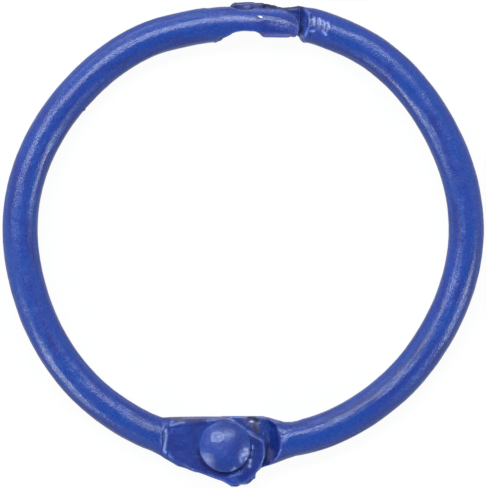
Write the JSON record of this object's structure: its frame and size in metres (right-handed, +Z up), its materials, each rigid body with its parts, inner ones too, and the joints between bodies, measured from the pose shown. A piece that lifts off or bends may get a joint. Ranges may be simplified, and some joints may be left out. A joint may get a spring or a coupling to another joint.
{
  "type": "binder ring",
  "caption": "Hinged snap ring of round painted wire for punched leaves, its two half rings riveted together at one end and closed by half-lapped hooks at the other.",
  "frame": {"origin": "on the surface that the ring lies on, under the middle of the ring's outline", "axes": "+Z up from that surface and along the hinge, +Y from the hinge towards the clasp, +X from the left half towards the right half"},
  "size_m": [0.0298, 0.0303, 0.0028],
  "materials": {
    "left_paint": "thick semi-gloss blue paint on steel wire, with a fine grain and small chips at the hook",
    "right_paint": "thick semi-gloss blue paint on steel wire, with a fine grain and light grip marks by the hook",
    "rivet_paint": "thick semi-gloss blue paint on a domed steel rivet, with light flecks and cracks along its edge"
  },
  "bodies": {
    "right_side": {"right_half": "right_paint", "hinge_rivet": "rivet_paint"},
    "left_side": {"left_half": "left_paint"}
  },
  "joints": [
    {"name": "hinge_turn", "type": "hinge", "parent": "right_side", "child": "left_side", "pos_m": [-0.00105, -0.01246, 0.00108], "axis": [0, 0, 1], "range_deg": [0, 125]}
  ]
}
